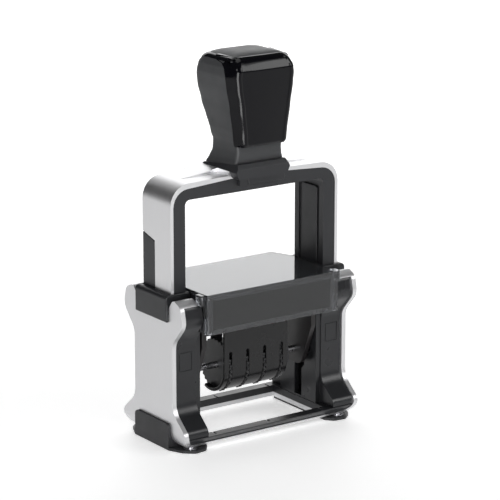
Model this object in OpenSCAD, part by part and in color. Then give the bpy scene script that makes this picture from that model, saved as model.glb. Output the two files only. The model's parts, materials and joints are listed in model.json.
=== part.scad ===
/* [Text plate] */
// Width of the rubber text plate
die_w = 41; // [34:0.5:60]
// Depth of the raised text area
die_d = 22.6; // [18:0.2:27.2]
// Height of the printing face above the platen's axle
die_h = 8; // [7:0.1:10]

/* [Stroke] */
// Travel of the handle from rest to the paper
stroke = 31.5; // [30:0.5:42]
// Distance of the cam follower pin from the platen's axle
cam_r = 8; // [6.5:0.1:9]

/* [Base] */
// Thickness of the sheet metal
sheet = 1.7; // [1.2:0.1:2.2]
// Thickness of the front and rear walls round the yoke legs
guard_wall = 3; // [2.5:0.1:4.5]
// How far the ears flare out from the waist
ear_flare = 6; // [4:0.1:9]
// Depth of the front and rear bars of the base
toe_bar = 4.8; // [4:0.1:7]
// Height of the base bars above the sheet metal
bar_h = 2.6; // [1.8:0.1:4]
// How far the collars and feet stand out from the sheet metal
collar_proud = 1; // [0.6:0.1:2]
// Height of the collars
collar_h = 9.8; // [7:0.1:12]

/* [Yoke] */
// Depth of the yoke, front to back
yoke_d = 18; // [14:0.2:24]
// Thickness of a yoke leg, side to side
leg_t = 6.3; // [5.8:0.1:9]
// Thickness of the yoke's metal skin
skin_t = 1.2; // [0.8:0.1:2]
// Thickness of the yoke's black bridge under the skin
bridge_t = 5; // [4:0.1:8]

/* [Handle] */
// Height of the grip above its saddle
grip_h = 38.9; // [34:0.1:52]
// Widest width of the grip
grip_w = 28.3; // [23:0.2:34]
// Depth of the grip at its widest
grip_d = 26.3; // [22:0.2:34]

/* [Date wheels] */
// Distance between neighbouring date wheels
wheel_pitch = 7.5; // [6.2:0.1:8.6]
// Radius of the knurled thumb discs
disc_r = 9.8; // [8.2:0.1:10.8]
// Distance of the date wheels' axle below the platen's axle
wheel_drop = 15.5; // [13:0.1:17]

/* [Ink cartridge] */
// Height of the ink cartridge
tray_h = 5.4; // [4.6:0.1:8]

/* [Fits] */
// Running gap between the yoke and the base
slide_fit = 0.2; // [0.1:0.02:0.3]
// Radial gap of a pin in its bore
pin_fit = 0.05; // [0.02:0.01:0.1]
// Gap between neighbouring parts that move past each other
part_gap = 0.3; // [0.2:0.05:0.5]

/* [Hidden] */
$fn = 48;

// Side to side, from the text plate outwards
die_margin = 2.6;
plate_t = 2;
side_gap = 0.6;
wall_t = 2;
cover_lap = 1;
collar_wall = 1;
plate_in_x = die_w / 2 + die_margin;
plate_out_x = plate_in_x + plate_t;
wall_in_x = plate_out_x + side_gap;
wall_out_x = wall_in_x + wall_t;
cover_x = wall_out_x + cover_lap;
collar_in_x = cover_x + part_gap;
leg_in_x = collar_in_x + collar_wall + slide_fit;
leg_out_x = leg_in_x + leg_t;
shell_in_x = leg_out_x + slide_fit;
shell_out_x = shell_in_x + sheet;
collar_out_x = shell_out_x + collar_proud;
window_x = wall_in_x - 0.2;
lug_w = 1.8;
flange_in_x = cover_x + lug_w + part_gap;

// Front to back
die_lip = 0.7;
window_gap = 3.5;
plate_y = die_d / 2 + die_lip;
window_y = plate_y + window_gap;
toe_y = window_y + toe_bar;
leg_y = yoke_d / 2;
guide_y = leg_y + slide_fit;
waist_y = guide_y + guard_wall;
ear_y = waist_y + ear_flare;
collar_y = guide_y + 0.8;
cover_y = ear_y + 1.8;
frame_inset = 0.8;

// Heights of the base and the platen at rest
sole_t = 1;
press_gap = 0.2;
pad_clear = 0.2;
frame_z = sole_t + sheet;
bar_top = frame_z + bar_h;
axle_z = stroke + die_h + press_gap;
// How far the corner of the text rises above the ink pad's plane as the platen starts to turn
corner_lift = max([for (a = [0:1:60]) die_d / 2 * sin(a) - die_h * (1 - cos(a)) - stroke * a / 180]);
pad_z = axle_z + die_h + corner_lift + pad_clear;
rim_up = 0.6;
roof_t = 1.8;
cover_t = 1.4;
skirt_d = 4.4;
lug_y = 4.8;
lug_h = 3.6;
tray_z = pad_z + rim_up;
tray_top = tray_z + tray_h;
carrier_top = tray_top + part_gap + roof_t;
cover_top = carrier_top + 0.1 + cover_t;
collar_top = cover_top - 0.7;
collar_z = collar_top - collar_h;
ear_top = cover_top - 1.7;
flange_h = 2.2;
wall_top = pad_z - 5;

// Heights of the yoke at rest
arch_gap = 0.8;
slider_gap = 0.2;
slider_z = stroke + bar_top + slider_gap;
slider_h = 16.1;
slider_top = slider_z + slider_h;
arch_z = cover_top + stroke + arch_gap;
bridge_top = arch_z + bridge_t;
skin_top = bridge_top + 3;
saddle_h = 3;
saddle_top = skin_top + saddle_h;
grip_z = saddle_top;

// Springs in the yoke legs
wire_r = 0.3;
coil_r = 1.6;
coils = 12;
spring_bore = coil_r + wire_r + 0.25;
spring_x = leg_out_x - spring_bore - 0.45;
spring_top = slider_top - 1;

// Date wheels and bands
disc_t = 0.9;
wheel_gap = 1.3;
drum_w = wheel_pitch - disc_t - wheel_gap;
drum_r = 5.6;
rod_r = 1.2;
band_t = 0.8;
band_gap = 0.1;
nose_z = die_h - band_t - band_gap - rod_r;
comb_r = disc_r - 0.4;
comb_t = 1.2;
comb_x = 14;
comb_top = 3.3;
slot_w = disc_t + 0.4;
window_half = 3;
plate_z = 4.5;
plate_h = 1.5;

trunnion_r = 2;
follower_r = 1.2;
groove_depth = 1.2;
screw_x = shell_in_x - 4;
screw_y = waist_y + 2.8;
screw_r = 1.25;
screw_bite = 2.6;

black = [0.16, 0.16, 0.17];
charcoal = [0.22, 0.22, 0.23];
silver = [0.78, 0.78, 0.79];
rubber = [0.45, 0.16, 0.14];
steel = [0.7, 0.7, 0.72];

function unit(v) = v / norm(v);

// Points of a fillet of radius r at corner b, between its neighbours a and c
function fillet(a, b, c, r, n = 6) =
    let (u = unit(a - b), w = unit(c - b), half = acos(u * w) / 2,
        m = b + unit(u + w) * r / sin(half), p = b + u * r / tan(half), q = b + w * r / tan(half),
        start = atan2(p.y - m.y, p.x - m.x), end = atan2(q.y - m.y, q.x - m.x),
        turn = end - start > 180 ? end - start - 360 : end - start < -180 ? end - start + 360 : end - start)
    [for (i = [0:n]) m + r * [cos(start + turn * i / n), sin(start + turn * i / n)]];

function flat(p) = [p.x, p.y];

// An outline whose corners are [x, y, radius]
function rounded(pts, n = 6) =
    [for (i = [0:len(pts) - 1])
        each pts[i][2] == 0 ? [flat(pts[i])]
            : fillet(flat(pts[(i + len(pts) - 1) % len(pts)]), flat(pts[i]),
                flat(pts[(i + 1) % len(pts)]), pts[i][2], n)];

function flipped(pts) = [for (i = [len(pts) - 1:-1:0]) [-pts[i].x, pts[i].y, pts[i][2]]];

// A half outline on +X and its mirror image
function both(pts) = concat(pts, flipped(pts));

// A loop drawn tight round a circle of radius r1 at height z1 and one of radius r2 above it at z2
function loop(z1, r1, z2, r2, n = 16) =
    let (b = asin((r1 - r2) / (z2 - z1)))
    concat([for (i = [0:n]) let (a = 180 - b + i * (180 + 2 * b) / n) [r1 * cos(a), z1 + r1 * sin(a)]],
        [for (i = [0:n]) let (a = b + i * (180 - 2 * b) / n) [r2 * cos(a), z2 + r2 * sin(a)]]);

// Path of the cam follower pin over the stroke, t from 0 to 1
function cam(t) = [-cam_r * sin(180 * t), axle_z - stroke * t - cam_r * cos(180 * t)];
function cam_side(t) =
    let (d = unit([-cam_r * PI * cos(180 * t), cam_r * PI * sin(180 * t) - stroke])) [-d.y, d.x];
function off_path(p, w) = min([for (j = [0:60]) norm(p - cam(j / 60))]) > w - 0.04;

// Outline of a track of half-width w along the path; points inside its sharp bend are left out
function cam_track(w, n = 28) =
    [for (p = concat([for (i = [0:n]) cam(i / n) + w * cam_side(i / n)],
        [for (i = [n:-1:0]) cam(i / n) - w * cam_side(i / n)])) if (off_path(p, w)) p];

// Half of the base's side outline: toe, waist and ear; inset moves its edge inwards
function base_half(inset) = [
    [toe_y - 4.2 - inset, sole_t, 4],
    [toe_y + 1.2 - inset, 6.6, 3],
    [waist_y - inset, 14.4, 7],
    [waist_y - inset, ear_top - 16.4, 6],
    [ear_y + 0.9 - inset, ear_top - 8.6, 5],
    [ear_y - 0.6 - inset, ear_top - 1.8, 3.2],
    [waist_y + 0.8 - inset, ear_top + 0.2 - inset / 2, 2],
    [collar_y, ear_top - 3.8, 0]];

// Extrudes a (y, z) outline from x0 to x1
module along_x(x0, x1) {
    translate([x0, 0, 0]) rotate([90, 0, 90]) linear_extrude(x1 - x0) children();
}

// Extrudes an (x, z) outline from y0 to y1
module along_y(y0, y1) {
    translate([0, y1, 0]) rotate([90, 0, 0]) linear_extrude(y1 - y0) children();
}

module box(a, b) {
    translate(a) cube(b - a);
}

module rod(x0, x1, y, z, r) {
    translate([x0, y, z]) rotate([0, 90, 0]) cylinder(h = x1 - x0, r = r);
}

module left() {
    mirror([1, 0, 0]) children();
}

module each_corner() {
    for (sx = [-1, 1], sy = [-1, 1]) translate([sx * screw_x, sy * screw_y, 0]) children();
}

// Cross-section of the bent sheet, outer side, grown inwards by t
module shell_section(t) {
    polygon(rounded(both([
        [shell_out_x - t, sole_t + t, 6 - t],
        [shell_out_x - t, ear_top + 2, 0]])));
}

// ---------- base ----------

module each_side() {
    for (side = [0, 1]) mirror([side, 0, 0]) children();
}

// The sheet turned inwards over the top of both ears
module ear_flange() {
    difference() {
        box([flange_in_x, -toe_y, ear_top - flange_h], [shell_out_x, toe_y, ear_top + 1]);
        along_x(flange_in_x - 1, shell_out_x + 1) polygon(rounded(both(base_half(sheet))));
    }
}

// Room for a collar in the side of the base
module collar_seat(x0) {
    along_x(x0, shell_out_x + 1) polygon([
        [-collar_y, collar_z], [collar_y, collar_z],
        [collar_y + 1, ear_top + 2], [-collar_y - 1, ear_top + 2]]);
}

module metal_shell() {
    color(silver) difference() {
        intersection() {
            along_x(-shell_out_x, shell_out_x) polygon(rounded(both(base_half(0))));
            union() {
                along_y(-toe_y - 1, toe_y + 1) difference() {
                    shell_section(0);
                    shell_section(sheet);
                }
                each_side() ear_flange();
            }
        }
        box([-window_x, -window_y, 0], [window_x, window_y, frame_z + 1]);
        each_side() collar_seat(flange_in_x - 1);
        each_corner() cylinder(h = 5, r = screw_r + 0.1);
    }
}

module window_frame() {
    color(black) difference() {
        intersection() {
            along_x(-shell_in_x, shell_in_x) polygon(rounded(both(base_half(frame_inset / 2))));
            along_y(-toe_y, toe_y) shell_section(sheet);
            box([-shell_out_x, -toe_y, 0], [shell_out_x, toe_y, bar_top]);
        }
        box([-window_x, -window_y, 0], [window_x, window_y, bar_top + 1]);
        for (x = [-window_x + 2, 0, window_x - 2], sy = [-1, 1])
            translate([x, sy * window_y, bar_top]) cube([0.6, 5, 0.8], center = true);
        each_corner() cylinder(h = bar_top + 1, r = screw_r + 0.1);
    }
}

module side_frame() {
    floor_z = bar_top;
    color(charcoal) difference() {
        union() {
            difference() {
                intersection() {
                    along_x(wall_out_x, shell_in_x) polygon(rounded(both(base_half(frame_inset))));
                    along_y(-toe_y, toe_y) shell_section(sheet);
                }
                box([wall_out_x - 1, -toe_y - 1, 0], [shell_out_x, toe_y + 1, floor_z]);
                along_x(wall_out_x - 1, shell_out_x) difference() {
                    translate([-toe_y, ear_top - flange_h - 0.1]) square([2 * toe_y, 2 * flange_h]);
                    polygon(rounded(both(base_half(sheet + 0.02))));
                }
                box([wall_out_x - 1, -guide_y, 0], [shell_out_x, guide_y, ear_top + 2]);
                box([wall_out_x - 1, -toe_y, wall_top], [collar_in_x, toe_y, ear_top + 2]);
                collar_seat(wall_out_x - 1);
                // Lets the index cover's lug slide out
                box([wall_out_x - 1, -toe_y - 1, cover_top - 0.2 - lug_h - part_gap],
                    [flange_in_x, lug_y + part_gap - cover_y, ear_top + 2]);
                for (sy = [-1, 1]) {
                    translate([(wall_out_x + shell_in_x) / 2, sy * (waist_y - frame_inset), 32])
                        difference() {
                            cube([5.4, 0.5, 7], center = true);
                            cube([4.8, 1, 6.4], center = true);
                        }
                }
            }
            box([wall_in_x, -waist_y + 1.2, floor_z], [wall_out_x + 0.01, waist_y - 1.2, wall_top]);
        }
        box([wall_in_x - 1, -trunnion_r - slide_fit, axle_z - stroke - trunnion_r - slide_fit],
            [wall_out_x + 1, trunnion_r + slide_fit, wall_top + 1]);
        along_x(wall_in_x - 1, wall_in_x + groove_depth) {
            polygon(cam_track(follower_r + slide_fit));
            translate(cam(0)) circle(r = follower_r + slide_fit);
            translate(cam(1)) circle(r = follower_r + slide_fit);
        }
        for (sy = [-1, 1])
            translate([screw_x, sy * screw_y, floor_z - 1]) cylinder(h = screw_bite + 1.4, r = screw_r + 0.02);
    }
}

module side_frame_right() {
    side_frame();
}

module side_frame_left() {
    left() side_frame();
}

module collar() {
    color(black) difference() {
        along_y(-collar_y, collar_y) polygon(rounded([
            [collar_in_x, collar_z, 0], [collar_out_x, collar_z, 0.6],
            [collar_out_x, collar_top, 1.6], [collar_in_x, collar_top, 0.6]]));
        box([leg_in_x - slide_fit, -guide_y, collar_z - 1], [shell_in_x, guide_y, collar_top + 1]);
    }
}

module collar_right() {
    collar();
}

module collar_left() {
    left() collar();
}

foot_half = [[window_x + 0.6, -toe_y + 4.4, 1], [window_x + 3, -toe_y + 1.4, 2],
    [shell_out_x - 5, -toe_y + 0.8, 2], [shell_out_x - 1.4, -toe_y + 4, 2], [collar_out_x, -11, 1]];

module foot() {
    color(black) difference() {
        union() {
            along_x(wall_out_x, collar_out_x) polygon(rounded(both([
                [11, 0, 0], [11, 9.7, 1.8]])));
            linear_extrude(sole_t) polygon(rounded(concat(foot_half, [for (i = [len(foot_half) - 1:-1:0])
                [foot_half[i].x, -foot_half[i].y, foot_half[i][2]]])));
        }
        along_y(-toe_y, toe_y) shell_section(0);
        for (sy = [-1, 1])
            translate([screw_x, sy * screw_y, -1]) cylinder(h = sole_t + 2, r = screw_r * 2 + 0.2);
    }
}

module foot_right() {
    foot();
}

module foot_left() {
    left() foot();
}

module base_screws() {
    color(steel) each_corner() {
        difference() {
            translate([0, 0, 0.2]) cylinder(h = sole_t - 0.2, r = screw_r * 2);
            translate([0, 0, 0.4]) cube([0.5, 3, 0.8], center = true);
            translate([0, 0, 0.4]) cube([3, 0.5, 0.8], center = true);
        }
        translate([0, 0, sole_t - 0.01]) cylinder(h = bar_top + screw_bite - sole_t, r = screw_r);
    }
}

module cartridge_carrier() {
    rail_x = cover_x - part_gap;
    front = cover_y - cover_t - 0.6;
    color(black) difference() {
        box([-rail_x, -front, wall_top], [rail_x, ear_y - 2, carrier_top]);
        box([-wall_in_x, 1.5 - front, wall_top - 1], [wall_in_x, toe_y, tray_top + part_gap]);
        // Clears the swinging platen
        box([-wall_in_x, -front - 1, wall_top - 1], [wall_in_x, toe_y, wall_top + 1.4]);
        // Seats for the index cover's skirts
        for (sx = [-1, 1])
            translate([sx * cover_x, skirt_d / 2 - cover_y, tray_top])
                cube([2 * (cover_t + part_gap), skirt_d + 2 * part_gap, 40], center = true);
    }
    color(black) for (sx = [-1, 1])
        translate([sx * (wall_in_x - 0.69), 0, tray_z - 0.1 - 0.55])
            cube([1.4, 2 * ear_y - 8, 1.1], center = true);
}

// A coil spring between heights z0 and z1, wound from a round wire
module coil_spring(z0, z1) {
    sides = 6;
    steps = 12 * coils;
    lift = (z1 - z0 - 2 * wire_r) / steps;
    pts = [for (i = [0:steps], j = [0:sides - 1])
        let (a = 30 * i, b = 360 * j / sides, rr = coil_r + wire_r * cos(b))
        [rr * cos(a), rr * sin(a), z0 + wire_r + lift * i + wire_r * sin(b)]];
    faces = concat([[for (j = [0:sides - 1]) j]],
        [for (i = [0:steps - 1], j = [0:sides - 1])
            let (a = sides * i + j, b = sides * i + (j + 1) % sides)
            each [[a, a + sides, b + sides], [a, b + sides, b]]],
        [[for (j = [sides - 1:-1:0]) sides * steps + j]]);
    polyhedron(pts, faces);
}

module spring_right() {
    color(steel) translate([spring_x, 0, 0]) coil_spring(bar_top, spring_top);
}

module spring_left() {
    color(steel) translate([-spring_x, 0, 0]) coil_spring(bar_top, spring_top);
}

// ---------- yoke and handle ----------

bridge_outline = [[leg_out_x - skin_t, slider_top, 0], [leg_out_x - skin_t, bridge_top - 1.3, 6.3],
    [0.01, bridge_top + 0.9, 0]];
saddle_x = 11.8;
band_x = leg_out_x - 7.8;
band_d = 7;
skin_outline = [[leg_out_x, slider_top, 0], [leg_out_x, bridge_top + 0.4, 7.5],
    [19.5, bridge_top + 1.8, 8], [saddle_x, skin_top, 0]];
strip_outline = [[1.2, slider_top], [1.2, arch_z - 15.6],
    [leg_y + 0.01, arch_z - 13.4], [leg_y + 0.01, slider_top]];

module yoke_core() {
    color(black) difference() {
        along_y(-leg_y + 0.2, leg_y - 0.2) difference() {
            polygon(rounded(both(bridge_outline)));
            polygon(rounded(both([[leg_in_x, slider_top - 1, 0], [leg_in_x, arch_z, 2]])));
        }
        for (sx = [-1, 1]) {
            translate([sx * (leg_in_x + 2.4), 0, slider_top + 3.5]) cube([2.9, 10.1, 9], center = true);
            along_x(sx * leg_in_x - 0.8, sx * leg_in_x + 0.8) polygon(rounded([
                [6.2, slider_top - 1, 0], [6.2, arch_z - 2.4, 2],
                [-6.2, arch_z - 2.4, 2], [-6.2, slider_top - 1, 0]]));
        }
        translate([0, 0, arch_z - 1]) cylinder(h = 12, r = 2.1);
        translate([0, 0, arch_z - 1]) cylinder(h = 3.2, r = 4.1);
    }
}

module yoke_skin() {
    color(silver) difference() {
        along_y(-leg_y, leg_y) difference() {
            polygon(rounded(both(skin_outline)));
            polygon(rounded(both(concat([[leg_out_x - skin_t, slider_top - 1, 0]],
                [bridge_outline[1], bridge_outline[2]]))));
        }
        for (sx = [-1, 1])
            along_x(sx * leg_out_x - skin_t - 0.5, sx * leg_out_x + skin_t + 0.5) polygon(strip_outline);
        // The front band of the top stays low beside the saddle
        each_side() along_y(-leg_y - 1, band_d - leg_y) polygon([
            [saddle_x, bridge_top + 1.45], [band_x, bridge_top + 1.03],
            [band_x, skin_top + 1], [saddle_x, skin_top + 1]]);
        translate([0, 0, arch_z]) cylinder(h = 12, r = 2.1);
    }
}

module leg_strip() {
    color(black) along_x(leg_out_x - skin_t, leg_out_x)
        polygon(rounded([[1.4, slider_top, 0], [1.4, arch_z - 15.8, 1.6], [leg_y, arch_z - 13.6, 0.4],
            [leg_y, slider_top, 0]]));
}

module leg_strip_right() {
    leg_strip();
}

module leg_strip_left() {
    left() leg_strip();
}

module inner_panel() {
    color(black) along_x(leg_in_x, leg_in_x + 0.8) polygon(rounded([
        [4.7, slider_top, 0], [4.7, arch_z - 3.9, 1.2], [-4.7, arch_z - 3.9, 1.2], [-4.7, slider_top, 0]]));
}

module inner_panel_right() {
    inner_panel();
}

module inner_panel_left() {
    left() inner_panel();
}

module leg_slider() {
    color(charcoal) difference() {
        union() {
            intersection() {
                box([leg_in_x, -leg_y, slider_z], [leg_out_x, leg_y, slider_top]);
                translate([0, 0, stroke]) along_y(-leg_y, leg_y) shell_section(sheet + slide_fit);
            }
            box([leg_in_x + 1, -5, slider_top - 0.01], [leg_in_x + 3.8, 5, slider_top + 7.5]);
        }
        translate([spring_x, 0, slider_z - 1]) cylinder(h = spring_top - slider_z + 1, r = spring_bore);
        rod(leg_in_x - 1, spring_x, 0, axle_z, trunnion_r + pin_fit);
    }
}

module leg_slider_right() {
    leg_slider();
}

module leg_slider_left() {
    left() leg_slider();
}

// The saddle's top leans back: its height above the yoke falls towards the rear
saddle_front = -leg_y - 4.6;
saddle_back = leg_y - 1.2;
rear_drop = 2.4;
function seat_z(y) = saddle_top - rear_drop * (y - saddle_front) / (saddle_back - saddle_front);

module handle_saddle() {
    foot_x = saddle_x - 0.2;
    color(black) difference() {
        union() {
            intersection() {
                along_y(saddle_front, saddle_back) polygon(rounded(both([
                    [foot_x, skin_top, 0], [foot_x - 1.4, saddle_top, 0.5]])));
                along_x(-saddle_x, saddle_x) polygon(rounded([[saddle_front, skin_top, 0],
                    [saddle_front, skin_top + 1.2, 0.4],
                    [saddle_front + 1.2, seat_z(saddle_front + 1.2), 0.6],
                    [saddle_back - 0.5, seat_z(saddle_back - 0.5), 0.2], [saddle_back, skin_top, 0]]));
            }
            along_y(saddle_front, -leg_y) polygon(rounded(both([
                [foot_x - 1.2, skin_top - 2.6, 0.8], [foot_x, skin_top + 0.01, 0]])));
            box([-8, -leg_y - 1.4, arch_z + 2.4], [-4.5, -leg_y, skin_top]);
        }
        translate([0, 0, skin_top - 1]) cylinder(h = saddle_h + 2, r = 2.1);
    }
}

module saddle_insert() {
    color(charcoal) along_y(-leg_y - 1.6, -leg_y) polygon(rounded([
        [-4.4, arch_z + 2.4, 0], [saddle_x - 0.2, arch_z + 2.4, 0.6], [saddle_x - 0.2, skin_top - 2.7, 0.3],
        [-4.4, skin_top - 2.7, 0]]));
}

// Side outline of the whole handle above the saddle; the back swells over the palm
grip_front = 15.3;
grip_back = grip_d - grip_front;
neck_h = 6;
neck_y = grip_front - 3.9;
cap_h = 1.9;
panel_drop = grip_z + grip_h - cap_h;
function handle_side() = rounded([
    [-neck_y, seat_z(-neck_y), 0], [-neck_y, grip_z + neck_h - 1, 0.5],
    [0.8 - grip_front, grip_z + neck_h, 0.4],
    [-grip_front, grip_z + grip_h / 2, 30], [0.2 - grip_front, panel_drop - 0.4, 3],
    [-5, grip_z + grip_h, 14], [3, grip_z + grip_h - 0.2, 12], [grip_back - 2, panel_drop - 1, 4],
    [grip_back + 0.5, grip_z + grip_h * 0.64, 8], [grip_back - 3, grip_z + grip_h * 0.4, 6],
    [grip_back - 6.3, grip_z + 5.4, 4], [saddle_back - 0.5, seat_z(saddle_back - 0.5), 0]]);

// Line between the matte grip and the glossy front panel
function panel_edge() = [[0.1 - neck_y, grip_z + neck_h], [4 - grip_front, grip_z + neck_h + 0.6],
    [4 - grip_front, grip_z + grip_h * 0.55], [5 - grip_front, panel_drop - 5],
    [8 - grip_front, panel_drop - 1.6], [grip_front, panel_drop - 0.7], [grip_front, panel_drop]];

module handle_front() {
    polygon(rounded(both([[saddle_x - 0.9, grip_z - rear_drop, 0], [grip_w / 2 - 4.2, grip_z + 3.6, 4],
        [grip_w / 2 - 3, grip_z + 8, 8], [grip_w / 2, panel_drop - 5.4, 9],
        [grip_w / 2 - 1.4, panel_drop, 2.2], [7, grip_z + grip_h, 12]])));
}

module handle_body() {
    intersection() {
        along_x(-grip_w, grip_w) polygon(handle_side());
        along_y(-grip_front - 1, grip_front) handle_front();
    }
}

module panel_space() {
    along_x(-grip_w, grip_w) polygon(concat(panel_edge(),
        [[-20, panel_drop], [-20, grip_z + neck_h - 1.2], [-neck_y, grip_z + neck_h - 1.2]]));
}

module cap_space(overlap) {
    box([-grip_w, -20, panel_drop - overlap], [grip_w, 20, grip_z + grip_h + 1]);
}

module handle_grip() {
    color(charcoal) difference() {
        handle_body();
        panel_space();
        cap_space(0.1);
        translate([0, 0, grip_z - 3]) cylinder(h = 19, r = 2.1);
    }
}

module handle_panel() {
    color([0.05, 0.05, 0.06]) intersection() {
        handle_body();
        panel_space();
    }
}

module handle_cap() {
    color(charcoal) intersection() {
        handle_body();
        cap_space(0);
    }
}

module handle_screw() {
    color(steel) difference() {
        union() {
            translate([0, 0, arch_z]) cylinder(h = 2.2, r = 3.9);
            translate([0, 0, arch_z + 2.19]) cylinder(h = grip_z + 15 - arch_z - 2.2, r = 2);
        }
        translate([0, 0, arch_z - 1]) cylinder(h = 2.4, r = 2, $fn = 6);
    }
}

// ---------- platen, drawn at its rest place ----------

module at_axle() {
    translate([0, 0, axle_z]) children();
}

module platen_side() {
    color([0.55, 0.55, 0.56]) at_axle() {
        difference() {
            along_x(plate_in_x, plate_out_x) polygon(rounded(both([
                [5, -wheel_drop - 5, 4], [plate_y - 0.5, -4, 4], [plate_y - 0.5, plate_z + plate_h, 1]])));
            rod(plate_in_x - 1, plate_out_x + 1, 0, -wheel_drop, rod_r);
        }
        rod(plate_out_x - 0.01, spring_x - coil_r - wire_r - 0.3, 0, 0, trunnion_r);
        rod(plate_out_x - 0.01, wall_in_x + groove_depth - 0.2, 0, -cam_r, follower_r);
    }
}

module platen_side_right() {
    platen_side();
}

module platen_side_left() {
    left() platen_side();
}

band_x0 = -1.5 * wheel_pitch + disc_t / 2;
band_x1 = 1.5 * wheel_pitch + disc_t / 2 + drum_w;

module date_window(z0, z1) {
    box([band_x0 - 0.4, -window_half, z0], [band_x1 + 0.4, window_half, z1]);
}

// Seat for both ends of the nose bar
module nose_seat() {
    rod(band_x0 - 1.5, band_x1 + 1.5, 0, nose_z, rod_r + pin_fit);
}

module die_plate() {
    color(black) at_axle() difference() {
        box([-plate_in_x, -plate_y + 0.5, plate_z], [plate_in_x, plate_y - 0.5, plate_z + plate_h]);
        date_window(plate_z - 1, plate_z + plate_h + 1);
        nose_seat();
    }
}

module text_plate() {
    base_z = plate_z + plate_h;
    row_h = 1.7;
    dash = 1.6;
    step = 2.3;
    rows = [window_half + 1.9, window_half + 5];
    dashes = floor((die_w - 5) / step / 2);
    color(rubber) at_axle() difference() {
        union() {
            box([-die_w / 2, -plate_y, base_z], [die_w / 2, plate_y, base_z + 0.9]);
            difference() {
                box([-die_w / 2 + 0.3, -die_d / 2, base_z], [die_w / 2 - 0.3, die_d / 2, die_h]);
                box([-die_w / 2 + 1.1, -die_d / 2 + 0.8, base_z - 1],
                    [die_w / 2 - 1.1, die_d / 2 - 0.8, die_h + 1]);
            }
            for (sy = [-1, 1], y = rows, i = [-dashes:dashes])
                if ((i + sy + floor(y)) % 5 != 0)
                    translate([i * step, sy * y, (base_z + die_h) / 2])
                        cube([dash, row_h, die_h - base_z], center = true);
        }
        date_window(base_z - 1, die_h + 1);
        nose_seat();
    }
}

module comb_cover() {
    color(black) at_axle() difference() {
        union() {
            box([-comb_x, -comb_r, -wheel_drop], [comb_x, comb_t - comb_r, comb_top]);
            box([-plate_in_x, -comb_r, comb_top - 2.6], [plate_in_x, comb_t - comb_r, comb_top]);
            translate([0, 0, -wheel_drop]) intersection() {
                along_x(-comb_x, comb_x) difference() {
                    circle(r = comb_r);
                    circle(r = comb_r - comb_t);
                }
                along_x(-comb_x, comb_x) polygon([[0, 0], [-20, 0], [-20, -20], [9, -20]]);
            }
        }
        for (i = [-1.5:1:1.5])
            translate([i * wheel_pitch, 0, 0]) along_y(-comb_r - 1, comb_r) {
                translate([0, 6.3 - wheel_drop]) circle(d = slot_w);
                translate([-slot_w / 2, -wheel_drop - 12]) square([slot_w, 18.3]);
            }
    }
}

module wheel_axle() {
    color(steel) at_axle() rod(-plate_out_x, plate_out_x, 0, -wheel_drop, rod_r);
}

module nose_bar() {
    color(steel) at_axle() rod(band_x0 - 1.4, band_x1 + 1.4, 0, nose_z, rod_r);
}

module date_band(n) {
    x0 = (n - 2.5) * wheel_pitch + disc_t / 2 + 0.25;
    color([0.12, 0.12, 0.12]) at_axle() along_x(x0, x0 + drum_w - 0.4) difference() {
        polygon(loop(-wheel_drop, drum_r + band_gap + band_t, nose_z, rod_r + band_gap + band_t));
        polygon(loop(-wheel_drop, drum_r + band_gap, nose_z, rod_r + band_gap));
    }
}

module date_band_1() {
    date_band(1);
}

module date_band_2() {
    date_band(2);
}

module date_band_3() {
    date_band(3);
}

module date_band_4() {
    date_band(4);
}

module date_wheel(n) {
    teeth = 30;
    color(charcoal) at_axle() translate([(n - 2.5) * wheel_pitch, 0, -wheel_drop]) difference() {
        union() {
            along_x(-disc_t / 2, disc_t / 2) polygon([for (i = [0:4 * teeth - 1])
                let (r = i % 4 < 2 ? disc_r : disc_r - 0.5, a = 90 * i / teeth) [r * cos(a), r * sin(a)]]);
            rod(0, disc_t / 2 + drum_w, 0, 0, drum_r);
        }
        rod(-disc_t, drum_w + 2, 0, 0, rod_r + pin_fit);
    }
}

module date_wheel_1() {
    date_wheel(1);
}

module date_wheel_2() {
    date_wheel(2);
}

module date_wheel_3() {
    date_wheel(3);
}

module date_wheel_4() {
    date_wheel(4);
}

// ---------- ink cartridge and index cover ----------

tray_x = wall_in_x - part_gap;
pad_x = die_w / 2 + 2.3;
pad_y = die_d / 2 + 2;

module ink_tray() {
    front = cover_y - cover_t - 0.6 - 1.5 - part_gap;
    color(charcoal) difference() {
        union() {
            box([-tray_x, -front, tray_z], [tray_x, ear_y - 1.6, tray_top]);
            box([-12, ear_y - 1.7, tray_z], [12, ear_y + 0.8, tray_top]);
        }
        box([-pad_x, -pad_y, tray_z - 1], [pad_x, pad_y, tray_top - 1.2]);
        for (x = [-10:2.5:10])
            translate([x, ear_y + 0.8, (tray_z + tray_top) / 2]) cube([1, 0.8, tray_h + 1], center = true);
    }
}

module ink_pad() {
    color([0.1, 0.1, 0.16]) box([-pad_x, -pad_y, pad_z], [pad_x, pad_y, tray_top - 1.2]);
}

module index_cover() {
    top_back = ear_y - 2.2;
    bottom = wall_top - 0.2;
    color([0.35, 0.36, 0.38, 0.6]) {
        difference() {
            box([-cover_x, -cover_y, bottom], [cover_x, skirt_d - cover_y, cover_top]);
            box([-cover_x + cover_t, -cover_y + cover_t, bottom - 1],
                [cover_x - cover_t, 0, cover_top - cover_t]);
            box([-cover_x - 1, -cover_y + cover_t + 0.6, bottom - 1], [cover_x + 1, 0, cover_top - 9]);
        }
        translate([0, 0, cover_top - cover_t]) linear_extrude(cover_t) polygon([
            [-cover_x, -cover_y + 1], [cover_x, -cover_y + 1], [cover_x, 6], [cover_x - 4, top_back],
            [-cover_x + 4, top_back], [-cover_x, 6]]);
        each_side() box([cover_x - 0.2, lug_y - lug_h - cover_y, cover_top - 0.2 - lug_h],
            [cover_x + lug_w, lug_y - cover_y, cover_top - 0.2]);
    }
}

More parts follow.
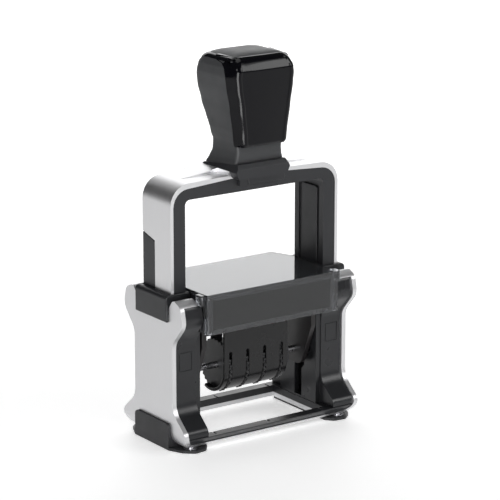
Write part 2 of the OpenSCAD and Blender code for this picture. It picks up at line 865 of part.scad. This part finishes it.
module index_card() {
    color([0.28, 0.28, 0.29]) box([-cover_x + 3, -cover_y + cover_t, wall_top + 1.4],
        [cover_x - 3, -cover_y + cover_t + 0.4, cover_top - 2.6]);
}

metal_shell();
window_frame();
side_frame_left();
side_frame_right();
collar_left();
collar_right();
foot_left();
foot_right();
cartridge_carrier();
base_screws();
spring_left();
spring_right();
yoke_skin();
yoke_core();
leg_slider_left();
leg_slider_right();
leg_strip_left();
leg_strip_right();
inner_panel_left();
inner_panel_right();
handle_saddle();
saddle_insert();
handle_grip();
handle_panel();
handle_cap();
handle_screw();
platen_side_left();
platen_side_right();
die_plate();
text_plate();
comb_cover();
wheel_axle();
nose_bar();
date_band_1();
date_band_2();
date_band_3();
date_band_4();
date_wheel_1();
date_wheel_2();
date_wheel_3();
date_wheel_4();
ink_tray();
ink_pad();
index_cover();
index_card();
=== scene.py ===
"""Looks of a rotary self-inking date stamp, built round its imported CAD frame. Lengths are in metres."""
import json
import math

import bmesh
import bpy
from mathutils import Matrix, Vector


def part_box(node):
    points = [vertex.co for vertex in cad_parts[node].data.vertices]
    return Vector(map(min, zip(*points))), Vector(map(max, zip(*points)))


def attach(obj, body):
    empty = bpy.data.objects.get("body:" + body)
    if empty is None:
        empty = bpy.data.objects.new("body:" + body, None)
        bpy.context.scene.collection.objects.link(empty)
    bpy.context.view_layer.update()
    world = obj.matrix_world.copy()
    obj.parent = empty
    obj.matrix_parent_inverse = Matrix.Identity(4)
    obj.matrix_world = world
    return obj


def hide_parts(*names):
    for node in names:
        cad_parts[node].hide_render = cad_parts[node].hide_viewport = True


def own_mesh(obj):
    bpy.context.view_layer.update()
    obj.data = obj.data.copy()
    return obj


MM = 0.001
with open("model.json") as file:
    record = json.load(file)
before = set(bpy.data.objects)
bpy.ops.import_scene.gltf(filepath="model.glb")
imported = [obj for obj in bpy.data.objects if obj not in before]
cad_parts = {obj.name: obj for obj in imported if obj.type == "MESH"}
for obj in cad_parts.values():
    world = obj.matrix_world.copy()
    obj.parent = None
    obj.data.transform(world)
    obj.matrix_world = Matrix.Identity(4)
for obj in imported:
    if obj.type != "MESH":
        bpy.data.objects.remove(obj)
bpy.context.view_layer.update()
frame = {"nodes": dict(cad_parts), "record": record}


# ---------- small helpers ----------

# Points closer than this, in metres, are joined, in a built piece and in a CAD node
SAME_POINT = 1e-7
SAME_CORNER = 2e-6
# Faces that lean less than this against each other become one face, in degrees
FLAT_ANGLE = 1
# Edges sharper than this are rounded, in degrees
CORNER_ANGLE = 32
# How much the large faces rule the shading next to the rounded edges
FACE_WEIGHT = 90


def lerp(a, b, t):
    return a + (b - a) * t


def smooth_table(rows, z):
    """Value at z of a gently rounded curve through (z, value) rows."""
    if z <= rows[0][0]:
        return rows[0][1]
    for (z0, v0), (z1, v1) in zip(rows, rows[1:]):
        if z <= z1:
            t = (z - z0) / (z1 - z0)
            return lerp(v0, v1, t * t * (3 - 2 * t)) * 0.5 + lerp(v0, v1, t) * 0.5
    return rows[-1][1]


def shade_smooth(obj):
    obj.data.polygons.foreach_set("use_smooth", [True] * len(obj.data.polygons))


def new_object(name, verts, faces, smooth_angle):
    mesh = bpy.data.meshes.new(name)
    mesh.from_pydata([tuple(v) for v in verts], [], faces)
    mesh.validate()
    bm = bmesh.new()
    bm.from_mesh(mesh)
    bmesh.ops.remove_doubles(bm, verts=bm.verts, dist=SAME_POINT)
    bmesh.ops.recalc_face_normals(bm, faces=bm.faces)
    bm.to_mesh(mesh)
    bm.free()
    obj = bpy.data.objects.new(name, mesh)
    bpy.context.collection.objects.link(obj)
    shade_smooth(obj)
    mesh.set_sharp_from_angle(angle=math.radians(smooth_angle))
    return obj


def ring_faces(rings, count):
    """Quads between neighbouring closed rings of count points each."""
    faces = []
    for r in range(rings - 1):
        a = r * count
        b = a + count
        for i in range(count):
            j = (i + 1) % count
            faces.append((a + i, a + j, b + j, b + i))
    return faces


def loft(name, rings, smooth_angle):
    """A skin over rings of equal length, closed at both ends."""
    count = len(rings[0])
    verts = [p for ring in rings for p in ring]
    faces = ring_faces(len(rings), count)
    faces.append(tuple(range(count - 1, -1, -1)))
    top = (len(rings) - 1) * count
    faces.append(tuple(range(top, top + count)))
    return new_object(name, verts, faces, smooth_angle)


def soften(obj, width, segments):
    """Rounds the sharp edges of a CAD node."""
    weld = obj.modifiers.new("weld", "WELD")
    weld.merge_threshold = SAME_CORNER
    flats = obj.modifiers.new("flats", "DECIMATE")
    flats.decimate_type = "DISSOLVE"
    flats.angle_limit = math.radians(FLAT_ANGLE)
    bevel = obj.modifiers.new("bevel", "BEVEL")
    bevel.width = width
    bevel.segments = segments
    bevel.limit_method = "ANGLE"
    bevel.angle_limit = math.radians(CORNER_ANGLE)
    bevel.use_clamp_overlap = True
    normals = obj.modifiers.new("normals", "WEIGHTED_NORMAL")
    normals.weight = FACE_WEIGHT
    shade_smooth(obj)


# ---------- materials ----------

def base_material(name, color, rough, metal=0.0):
    mat = bpy.data.materials.new(name)
    mat.use_nodes = True
    tree = mat.node_tree
    shader = tree.nodes["Principled BSDF"]
    shader.inputs["Base Color"].default_value = (*color, 1)
    shader.inputs["Roughness"].default_value = rough
    shader.inputs["Metallic"].default_value = metal
    return mat, tree, shader


def noise(tree, scale, detail, stretch=(1, 1, 1), roughness=0.55):
    coord = tree.nodes.new("ShaderNodeTexCoord")
    mapping = tree.nodes.new("ShaderNodeMapping")
    mapping.inputs["Scale"].default_value = stretch
    tex = tree.nodes.new("ShaderNodeTexNoise")
    tex.inputs["Scale"].default_value = scale
    tex.inputs["Detail"].default_value = detail
    tex.inputs["Roughness"].default_value = roughness
    tree.links.new(coord.outputs["Object"], mapping.inputs["Vector"])
    tree.links.new(mapping.outputs["Vector"], tex.inputs["Vector"])
    return tex.outputs["Fac"]


def remap(tree, fac, low, high):
    """Spreads the middle of a noise, where nearly all of it lies, from low to high."""
    node = tree.nodes.new("ShaderNodeMapRange")
    node.inputs["From Min"].default_value = 0.3
    node.inputs["From Max"].default_value = 0.7
    node.inputs["To Min"].default_value = low
    node.inputs["To Max"].default_value = high
    tree.links.new(fac, node.inputs["Value"])
    return node.outputs["Result"]


def mix_colors(tree, fac, a, b):
    node = tree.nodes.new("ShaderNodeMix")
    node.data_type = "RGBA"
    node.inputs["A"].default_value = (*a, 1)
    node.inputs["B"].default_value = (*b, 1)
    tree.links.new(fac, node.inputs["Factor"])
    return node.outputs["Result"]


def scaled(color, k):
    return tuple(min(1.0, c * k) for c in color)


def vary_color(tree, shader, fac, color, dark, light):
    """Lets the colour wander between a darker and a lighter shade, given as shares of it."""
    shade = mix_colors(tree, fac, scaled(color, dark), scaled(color, light))
    tree.links.new(shade, shader.inputs["Base Color"])


def vary_roughness(tree, shader, fac, low, high):
    tree.links.new(remap(tree, fac, low, high), shader.inputs["Roughness"])


def bump(tree, shader, height, strength, distance):
    node = tree.nodes.new("ShaderNodeBump")
    node.inputs["Strength"].default_value = strength
    node.inputs["Distance"].default_value = distance
    tree.links.new(height, node.inputs["Height"])
    tree.links.new(node.outputs["Normal"], shader.inputs["Normal"])


def moulded_plastic(name, color, rough, grain=0.12, grain_scale=2600):
    """Moulded plastic: a fine spark-eroded grain, slow colour drift and patchy sheen."""
    mat, tree, shader = base_material(name, color, rough)
    shader.inputs["Specular IOR Level"].default_value = 0.32
    vary_color(tree, shader, noise(tree, scale=60, detail=4), color, dark=0.82, light=1.2)
    vary_roughness(tree, shader, noise(tree, scale=140, detail=5), low=rough * 0.88, high=rough * 1.12)
    bump(tree, shader, noise(tree, scale=grain_scale, detail=2), strength=grain, distance=0.03 * MM)
    return mat


def brushed_metal(name, color, rough, along):
    """Brushed sheet: hair lines along the named axes in colour, roughness and height."""
    mat, tree, shader = base_material(name, color, rough, metal=1.0)
    stretch = tuple(0.03 if axis in along else 1.0 for axis in "xyz")
    lines = noise(tree, scale=5200, detail=6, stretch=stretch, roughness=0.7)
    vary_color(tree, shader, lines, color, dark=0.9, light=1.08)
    vary_roughness(tree, shader, lines, low=rough * 0.8, high=rough * 1.25)
    bump(tree, shader, lines, strength=0.10, distance=0.02 * MM)
    return mat


def gloss_plastic(name, color, rough):
    """Polished plastic under a thin coat, with a faint waviness."""
    mat, tree, shader = base_material(name, color, rough)
    vary_color(tree, shader, noise(tree, scale=40, detail=3), color, dark=0.8, light=1.3)
    vary_roughness(tree, shader, noise(tree, scale=220, detail=5), low=rough * 0.8, high=rough * 1.5)
    bump(tree, shader, noise(tree, scale=90, detail=2), strength=0.03, distance=0.1 * MM)
    shader.inputs["Specular IOR Level"].default_value = 0.14
    shader.inputs["Coat Weight"].default_value = 0.1
    shader.inputs["Coat Roughness"].default_value = 0.04
    return mat


def rubber(name, color):
    """Dull rubber with a dusty grain."""
    rough = 0.7
    mat, tree, shader = base_material(name, color, rough)
    vary_color(tree, shader, noise(tree, scale=300, detail=6), color, dark=0.75, light=1.25)
    vary_roughness(tree, shader, noise(tree, scale=500, detail=4), low=rough * 0.9, high=rough * 1.15)
    bump(tree, shader, noise(tree, scale=3000, detail=3), strength=0.2, distance=0.03 * MM)
    return mat


def smoky_clear(name, color):
    """Tinted clear plastic with a trace of moulding waves and fine dust."""
    mat, tree, shader = base_material(name, color, rough=0.05)
    shader.inputs["Transmission Weight"].default_value = 0.92
    shader.inputs["IOR"].default_value = 1.5
    vary_roughness(tree, shader, noise(tree, scale=400, detail=5), low=0.03, high=0.09)
    vary_color(tree, shader, noise(tree, scale=30, detail=2), color, dark=0.94, light=1.06)
    bump(tree, shader, noise(tree, scale=50, detail=1), strength=0.02, distance=0.1 * MM)
    return mat


def felt(name, color):
    """Ink-soaked felt: short fibres with a soft sheen."""
    mat, tree, shader = base_material(name, color, rough=0.95)
    fibres = noise(tree, scale=2500, detail=8, roughness=0.8)
    vary_color(tree, shader, fibres, color, dark=0.6, light=1.6)
    bump(tree, shader, fibres, strength=0.6, distance=0.1 * MM)
    shader.inputs["Sheen Weight"].default_value = 0.4
    return mat


def turned_steel(name, color, rough):
    """Bright steel with fine turning marks round the x axis."""
    mat, tree, shader = base_material(name, color, rough, metal=1.0)
    lines = noise(tree, scale=3000, detail=5, stretch=(1, 0.05, 0.05))
    vary_roughness(tree, shader, lines, low=rough * 0.7, high=rough * 1.4)
    vary_color(tree, shader, lines, color, dark=0.88, light=1.08)
    bump(tree, shader, lines, strength=0.12, distance=0.02 * MM)
    return mat


MATS = {
    "shell_metal": brushed_metal("shell_metal", (0.66, 0.66, 0.67), 0.42, "z"),
    "yoke_metal": brushed_metal("yoke_metal", (0.68, 0.68, 0.69), 0.38, "xz"),
    "base_black": moulded_plastic("base_black", (0.026, 0.027, 0.030), 0.36),
    "frame_black": moulded_plastic("frame_black", (0.026, 0.027, 0.030), 0.30),
    "foot_black": moulded_plastic("foot_black", (0.030, 0.030, 0.033), 0.48, grain=0.2),
    "yoke_black": moulded_plastic("yoke_black", (0.034, 0.035, 0.039), 0.42),
    "grip_soft": moulded_plastic("grip_soft", (0.064, 0.066, 0.070), 0.58, grain=0.22),
    "cap_soft": moulded_plastic("cap_soft", (0.085, 0.088, 0.092), 0.5, grain=0.1),
    "panel_gloss": gloss_plastic("panel_gloss", (0.004, 0.004, 0.006), 0.10),
    "platen_grey": moulded_plastic("platen_grey", (0.019, 0.017, 0.018), 0.35, grain=0.08),
    "comb_black": moulded_plastic("comb_black", (0.010, 0.010, 0.011), 0.20, grain=0.05),
    "text_rubber": rubber("text_rubber", (0.26, 0.05, 0.04)),
    "band_rubber": rubber("band_rubber", (0.035, 0.035, 0.04)),
    "wheel_plastic": moulded_plastic("wheel_plastic", (0.02, 0.02, 0.022), 0.4),
    "tray_plastic": moulded_plastic("tray_plastic", (0.035, 0.035, 0.04), 0.45),
    "pad_felt": felt("pad_felt", (0.012, 0.012, 0.05)),
    "smoke_clear": smoky_clear("smoke_clear", (0.30, 0.31, 0.33)),
    "card": moulded_plastic("card", (0.085, 0.088, 0.096), 0.75, grain=0.15, grain_scale=900),
    "steel": turned_steel("steel", (0.50, 0.50, 0.52), 0.28),
    "spring_steel": turned_steel("spring_steel", (0.55, 0.55, 0.57), 0.3),
}

# Rounding of each CAD node's edges, in millimetres; nodes that aren't named get PLAIN_EDGE
EDGE = {
    "metal_shell": 0.35, "yoke_skin": 0.5, "yoke_core": 0.4, "window_frame": 0.35,
    "side_frame_left": 0.4, "side_frame_right": 0.4, "collar_left": 0.35, "collar_right": 0.35,
    "foot_left": 0.5, "foot_right": 0.5, "index_cover": 0.3, "handle_saddle": 0.5,
    "saddle_insert": 0.25, "leg_strip_left": 0.25, "leg_strip_right": 0.25, "comb_cover": 0.25,
    "platen_side_left": 0.3, "platen_side_right": 0.3, "cartridge_carrier": 0.3, "ink_tray": 0.3,
    "inner_panel_left": 0.25, "inner_panel_right": 0.25, "die_plate": 0.15, "text_plate": 0.06,
    "index_card": 0.03, "leg_slider_left": 0.3, "leg_slider_right": 0.3, "ink_pad": 0.2,
}
PLAIN_EDGE = 0.12
# Edges wider than this get one step more
WIDE_EDGE = 0.2


def dress_node(obj, slot, edge):
    if not obj.data.materials:
        obj.data.materials.append(None)
    for material_slot in obj.material_slots:
        material_slot.material = MATS[slot]
    soften(obj, edge * MM, segments=3 if edge > WIDE_EDGE else 2)


slot_of = {row["node"]: row["material_slot"] for row in frame["record"]["subparts"]}
for node, obj in frame["nodes"].items():
    dress_node(obj, slot_of[node], EDGE.get(node, PLAIN_EDGE))


# ---------- handle ----------

grip_lo, grip_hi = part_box("handle_grip")
panel_lo, panel_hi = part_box("handle_panel")
cap_lo, cap_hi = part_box("handle_cap")
saddle_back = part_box("handle_saddle")[1].y
GRIP_Z = grip_lo.z
GRIP_TOP = cap_hi.z
FRONT = panel_lo.y
BACK = grip_hi.y
HALF = panel_hi.x

# Along the handle's height above the saddle, in millimetres: half widths of the grip and of the glossy
# front, back, radius of the back's corners, seam between the grip and the glossy front, and front of the
# neck and of the grip behind the glossy front
HALF_W = [(-2, -3.0), (0, -3.4), (2, -4.0), (4, -4.2), (6.5, -3.9), (9, -3.1), (12, -2.5), (20, -1.5),
          (27, -0.4), (31, 0.0), (34, -0.3), (36, -1.1), (38, -2.6), (40, -4.5)]
PANEL_W = [(5, -3.1), (10, -2.7), (20, -1.5), (27, -0.4), (31, 0.0), (34, -0.3), (36, -1.1), (38, -2.6),
           (40, -4.5)]
BACK_Y = [(-2, -1.8), (0, -2.6), (1.5, -4.0), (3.5, -5.6), (6.5, -6.3), (10.5, -5.4), (15, -3.3),
          (20, -1.2), (25, -0.1), (29, 0.0), (32, -0.5), (34, -1.1), (36, -2.3), (38, -4.4), (40, -6.5)]
BACK_R = [(0, 2.2), (6, 2.4), (14, 4.0), (24, 4.6), (33, 4.6), (38, 4.2)]
SEAM_Y = [(5, 4.1), (11.4, 4.2), (21.9, 4.5), (31, 5.0), (34, 6.2), (35.6, 8.5), (36.6, 14)]
NECK_Y = 3.9
NECK_FRONT = [(0, NECK_Y + 0.2), (2.5, NECK_Y), (4.7, NECK_Y)]
GRIP_FRONT = [(4.7, NECK_Y), (6, 4.0), (30, 4.4), (34, 5.5), (38, 9)]

# Height of the glossy front's lower edge, and how much of the neck's top belongs to the grip behind it
NECK_H = 6.0
NECK_LAP = 0.9
# The saddle leans back by REAR_DROP; the rings above it are level again from FADE_H on
REAR_DROP = 2.4
FADE_H = 6.0
CAP_H = (cap_lo.z - GRIP_Z) / MM - REAR_DROP
FRONT_R = 1.4
CORNER_STEPS = 10
# How far the back bows outwards between its corners
BACK_BOW = 0.5


def level(h, y):
    """Height of a ring's point: the lowest rings lie on the leaning saddle, the upper ones are level."""
    lean = max(0.0, 1 - h / FADE_H) * REAR_DROP * (y - FRONT) / (saddle_back - FRONT)
    return GRIP_Z + (REAR_DROP + h - min(lean, REAR_DROP)) * MM


def handle_ring(h, front, inset):
    """Outline of the handle at height h above the saddle, going round from the front left corner."""
    half = HALF + smooth_table(HALF_W, h) * MM - inset
    back = BACK + smooth_table(BACK_Y, h) * MM - inset
    rb = smooth_table(BACK_R, h) * MM
    rf = FRONT_R * MM
    corners = [(-half + rf, front + rf, rf, 180), (half - rf, front + rf, rf, 270),
               (half - rb, back - rb, rb, 0), (-half + rb, back - rb, rb, 90)]
    middle_y = (front + back) / 2
    ring = []
    for cx, cy, r, start in corners:
        for i in range(CORNER_STEPS + 1):
            a = math.radians(start + 90 * i / CORNER_STEPS)
            x = cx + r * math.cos(a)
            y = cy + r * math.sin(a)
            if y > middle_y:
                y += BACK_BOW * MM * (1 - (x / half) ** 2)
            ring.append(Vector((x, y, level(h, y))))
    return ring


def grip_front(h):
    table = NECK_FRONT if h < NECK_H - NECK_LAP else GRIP_FRONT
    return FRONT + smooth_table(table, h) * MM


def build_grip():
    """Soft grip from the saddle up into the cap, narrow at the neck and full at the palm."""
    step, into_cap = 0.45, 0.6
    rings = []
    h = 0.0
    while h <= CAP_H + into_cap:
        rings.append(handle_ring(h, grip_front(h), inset=0.0))
        h += step
    return loft("grip_shell", rings, smooth_angle=50)


def build_panel():
    """Glossy front: a wrap from one side seam to the other, rolled back at the top."""
    top = CAP_H + 0.9
    # Height and depth of the roll at the top, of the rounded lower edge and of the lean above it
    roll_h, roll_d = 4.6, 3.6
    edge_h, edge_d = 0.9, 0.55
    lean_h, lean_d = 14, 0.5
    # The roll starts as a gentle slope and steepens towards its top
    slope, slope_power, top_power = 0.62, 1.1, 8
    proud, seam_depth = 0.14, 1.9
    # Rings stand closer together where the lower edge is rounded
    step, fine_step, fine_count = 0.4, 0.06, 4
    heights = [NECK_H + fine_step * k * k for k in range(fine_count)]
    while heights[-1] < top - step:
        heights.append(heights[-1] + step)
    heights.append(top)
    rings = []
    for h in heights:
        edge = (1 - min(1, (h - NECK_H) / edge_h)) * edge_d * MM
        lean = lean_d * MM * max(0.0, 1 - (h - NECK_H) / lean_h)
        t = max(0.0, h - (top - roll_h)) / roll_h
        rolled = roll_d * (slope * t ** slope_power + (1 - slope) * t ** top_power)
        front = FRONT + edge + lean + rolled * MM
        half = HALF + (smooth_table(PANEL_W, h) + proud) * MM - edge * 0.5
        seam = max(FRONT + smooth_table(SEAM_Y, h) * MM, front + seam_depth * MM)
        rings.append(panel_strip(half, front, seam, GRIP_Z + (REAR_DROP + h) * MM))
    return loft("front_panel", rings, smooth_angle=40)


def panel_strip(half, front, seam, z):
    """A U in plan: from the left seam up a slanted facet, round the front, and back inside."""
    skin, radius, corner = 1.1 * MM, 2.1 * MM, 3.3 * MM
    # Plan directions, in degrees, between which the rounded corner turns from the facet to the front
    turn_from, turn_to, turns = 198, 270, 8
    # The front starts behind a fine groove and is slightly crowned
    groove_near, groove_far, groove_end = 0.25 * MM, 0.45 * MM, 0.6 * MM
    groove, crown, across = 0.16, 0.3, 14
    cx, cy = -half + corner, front + radius
    directions = [math.radians(lerp(turn_from, turn_to, k / turns)) for k in range(turns + 1)]
    rim = [(cx + radius * math.cos(a), cy + radius * math.sin(a)) for a in directions]
    rim_x, rim_y = rim[0]
    side = [(lerp(-half, rim_x, t), lerp(seam, rim_y, t)) for t in (0.0, 0.02, 0.2, 0.4, 0.6, 0.8, 0.95)]
    lip = [(cx + groove_near, front), (cx + groove_far, front + groove * MM)]
    near = side + rim + lip
    span = -cx - groove_end
    face = []
    for k in range(across + 1):
        bulge = crown * (1 - (2 * k / across - 1) ** 2)
        face.append((lerp(-span, span, k / across), front + (groove - bulge) * MM))
    outer = near + face + [(-x, y) for x, y in reversed(near)]
    inner = [(x * (half - skin) / half, min(y + skin, seam)) for x, y in outer]
    return [Vector((x, y, z)) for x, y in outer + list(reversed(inner))]


def build_rim():
    """Glossy band round the top of the handle, under the cap."""
    below, rise, front = 0.9, 0.32, FRONT + 3.8 * MM
    # How far each ring stands out of the grip; the first and the last lie inside it
    profile = (-0.6, 0.1, 0.16, 0.16, 0.0, -0.6)
    rings = []
    for k, proud in enumerate(profile):
        rings.append(handle_ring(CAP_H - below + rise * k, front, -proud * MM))
    return loft("top_rim", rings, smooth_angle=60)


def build_cap():
    """Broad, shallow dome let into the top of the handle."""
    steps, fullness, let_in = 19, 4, 1.5 * MM
    above, front, inset = 0.5, FRONT + 3.6 * MM, 0.5 * MM
    ring = handle_ring(CAP_H + above, front, inset)
    centre = sum(ring, Vector()) / len(ring)
    rings = [[Vector((p.x, p.y, p.z - let_in)) for p in ring]]
    low = ring[0].z
    for k in range(steps):
        s = 1 - k / (steps - 0.5)
        z = lerp(low, GRIP_TOP, 1 - s ** fullness)
        rings.append([Vector((lerp(centre.x, p.x, s), lerp(centre.y, p.y, s), z)) for p in ring])
    return loft("top_cap", rings, smooth_angle=50)


def finish_piece(obj, body, slot, *nodes):
    obj.data.materials.append(MATS[slot])
    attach(obj, body)
    if nodes:
        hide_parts(*nodes)


finish_piece(build_grip(), "yoke", "grip_soft", "handle_grip")
finish_piece(build_panel(), "yoke", "panel_gloss", "handle_panel")
finish_piece(build_rim(), "yoke", "panel_gloss")
finish_piece(build_cap(), "yoke", "cap_soft", "handle_cap")


# ---------- springs ----------

SPRING_WIRE = 0.3 * MM
SPRING_TURNS = 13
# Turns that lie closed at each end, and their pitch in wire radii
DEAD_TURNS = 1.2
DEAD_PITCH = 2.2
TURN_STEPS = 28
WIRE_SIDES = 10


def build_spring(node):
    """Coil with closed ends between the node's lower and upper face."""
    lo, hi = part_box(node)
    wire = SPRING_WIRE
    radius = (hi.x - lo.x) / 2 - wire
    cx, cy = (lo.x + hi.x) / 2, (lo.y + hi.y) / 2
    z0, z1 = lo.z + wire, hi.z - wire
    dead_pitch = DEAD_PITCH * wire
    free_length = z1 - z0 - 2 * dead_pitch * DEAD_TURNS
    count = int((SPRING_TURNS + 2 * DEAD_TURNS) * TURN_STEPS)
    up = Vector((0, 0, 1))
    rings = []
    for i in range(count + 1):
        turn = i / TURN_STEPS
        closed = dead_pitch * (min(turn, DEAD_TURNS) + max(0, turn - SPRING_TURNS - DEAD_TURNS))
        free = min(max(turn - DEAD_TURNS, 0), SPRING_TURNS) / SPRING_TURNS * free_length
        a = math.tau * turn
        out = Vector((math.cos(a), math.sin(a), 0))
        c = Vector((cx, cy, z0 + closed + free)) + out * radius
        sides = [math.tau * k / WIRE_SIDES for k in range(WIRE_SIDES)]
        rings.append([c + (out * math.cos(b) + up * math.sin(b)) * wire for b in sides])
    spring = loft(node + "_coil", rings, smooth_angle=80)
    finish_piece(spring, "base", "spring_steel", node)
    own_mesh(spring)


for side in ("left", "right"):
    build_spring("spring_" + side)


# ---------- floor, light and camera ----------

FLOOR_SIZE = 6.0
FLOOR_DROP = 0.05 * MM
FLOOR_GLOW = 0.5

# The camera's direction seen from the stamp, its distance and the point that it looks at
AZIMUTH, ELEVATION = math.radians(-35), math.radians(14.97)
TO_CAMERA = Vector((math.sin(AZIMUTH) * math.cos(ELEVATION), -math.cos(AZIMUTH) * math.cos(ELEVATION),
                    math.sin(ELEVATION)))
CAMERA_DISTANCE = 0.8914
CAMERA_AIM = Vector((-0.00045, 0, 0.06556))
CAMERA_LENS = 177.6
CAMERA_SHIFT = 0.0191


def build_floor():
    bm = bmesh.new()
    bmesh.ops.create_grid(bm, x_segments=4, y_segments=4, size=FLOOR_SIZE)
    mesh = bpy.data.meshes.new("floor")
    bm.to_mesh(mesh)
    bm.free()
    floor = bpy.data.objects.new("floor", mesh)
    floor.location.z = -FLOOR_DROP
    bpy.context.collection.objects.link(floor)
    mat, tree, shader = base_material("floor_white", (0.93, 0.93, 0.93), rough=0.55)
    clouds = mix_colors(tree, noise(tree, scale=3, detail=2), (0.92, 0.92, 0.92), (0.94, 0.94, 0.94))
    tree.links.new(clouds, shader.inputs["Base Color"])
    shader.inputs["Specular IOR Level"].default_value = 0.1
    shader.inputs["Emission Color"].default_value = (1, 1, 1, 1)
    shader.inputs["Emission Strength"].default_value = FLOOR_GLOW
    mesh.materials.append(mat)


def area_light(name, place, target, width, height, power, diffuse=True):
    """A lamp of width by height metres and power watts; without diffuse it shows in reflections only."""
    data = bpy.data.lights.new(name, "AREA")
    data.shape = "RECTANGLE"
    data.size, data.size_y = width, height
    data.energy = power
    light = bpy.data.objects.new(name, data)
    light.location = place
    light.rotation_euler = (Vector(target) - Vector(place)).to_track_quat("-Z", "Y").to_euler()
    light.visible_camera = False
    light.visible_diffuse = diffuse
    bpy.context.collection.objects.link(light)


def build_lights():
    middle = Vector((0, 0, 0.06))
    area_light("key", (-0.8, -0.5, 0.9), middle, 0.4, 0.4, 2.2)
    area_light("fill", (0.85, -0.95, 0.72), middle, 0.5, 0.5, 4)
    area_light("card", (-0.165, -0.23, 0.1), Vector((0, 0, 0.1)), 0.17, 0.2, 1.0, diffuse=False)
    area_light("sheen", (0.83, -0.93, 0.7), middle, 0.7, 0.7, 2.5, diffuse=False)
    area_light("top", (0, 0.15, 1.2), middle, 0.7, 0.7, 2.5)
    behind = Vector((-TO_CAMERA.x, -TO_CAMERA.y, 0)).normalized()
    area_light("backdrop", behind * 0.9 + Vector((0, 0, 0.34)), middle, 1.4, 0.66, 6)


def build_world():
    """White studio: bright overhead, dimmer towards the horizon."""
    world = bpy.data.worlds.new("studio")
    world.use_nodes = True
    tree = world.node_tree
    coord = tree.nodes.new("ShaderNodeTexCoord")
    split = tree.nodes.new("ShaderNodeSeparateXYZ")
    rise = tree.nodes.new("ShaderNodeMapRange")
    rise.inputs["From Min"].default_value = 0.0
    rise.inputs["From Max"].default_value = 0.9
    rise.inputs["To Min"].default_value = 0.8
    rise.inputs["To Max"].default_value = 1.3
    tree.links.new(coord.outputs["Generated"], split.inputs["Vector"])
    tree.links.new(split.outputs["Z"], rise.inputs["Value"])
    tree.links.new(rise.outputs["Result"], tree.nodes["Background"].inputs["Strength"])
    bpy.context.scene.world = world
    bpy.context.scene.view_settings.view_transform = "Standard"


def build_camera():
    data = bpy.data.cameras.new("camera")
    data.lens = CAMERA_LENS
    data.sensor_width = 36
    data.shift_x = CAMERA_SHIFT
    data.clip_start, data.clip_end = 0.01, 50
    cam = bpy.data.objects.new("camera", data)
    cam.location = CAMERA_AIM + TO_CAMERA * CAMERA_DISTANCE
    cam.rotation_euler = (-TO_CAMERA).to_track_quat("-Z", "Y").to_euler()
    bpy.context.collection.objects.link(cam)
    bpy.context.scene.camera = cam


build_floor()
build_world()
build_lights()
build_camera()
